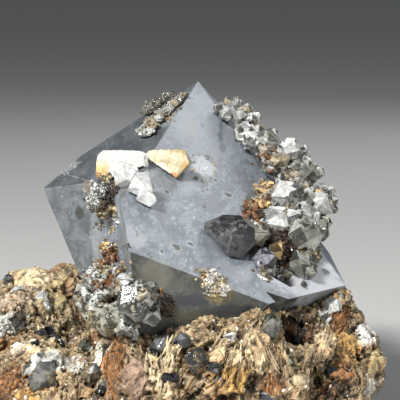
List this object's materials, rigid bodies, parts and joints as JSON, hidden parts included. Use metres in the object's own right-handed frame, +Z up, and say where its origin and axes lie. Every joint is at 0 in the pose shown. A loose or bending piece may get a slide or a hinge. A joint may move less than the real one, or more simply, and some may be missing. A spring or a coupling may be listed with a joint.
{
  "type": "beta quartz crystal on matrix",
  "caption": "Large pale blue-grey hexagonal dipyramid of beta quartz leaning back on a fibrous tan matrix rock, with a crust of small crystals on one shoulder and feldspar grains on an edge.",
  "frame": {"origin": "centre of the specimen's bounding box in plan, on the flat base it rests on", "axes": "+Z up, +X to the viewer's right in front view, +Y away from the front face of the crystal"},
  "size_m": [0.0494, 0.0608, 0.0391],
  "materials": {
    "crystal": "pale blue-grey, cloudy, satin faces",
    "smoky": "near black, glossy",
    "white_feldspar": "white with orange-brown stains",
    "cream_feldspar": "cream to yellow with brown edges",
    "glassy": "clear to whitish, glossy",
    "druse": "grey-white sparkling crystals with rusty brown crust",
    "rock_quartz": "grey, glossy",
    "matrix": "matt ochre, rust, cream and dark specks, fibrous"
  },
  "bodies": {
    "root": {"beta_quartz_crystal": "crystal", "smoky_quartz_crystal": "smoky", "white_feldspar": "white_feldspar", "cream_feldspar_plate": "cream_feldspar", "glassy_quartz_crystals": "glassy", "pale_quartz_crystals": "glassy", "brown_quartz_crystals": "druse", "shoulder_druse": "druse", "edge_crust": "druse", "outline_druse": "druse", "lower_quartz_group": "glassy", "smoky_crystal_front": "smoky", "smoky_crystal_left": "smoky", "grey_crystal_left": "rock_quartz", "grey_crystal_ledge": "rock_quartz", "matrix_rock": "matrix"}
  },
  "joints": []
}
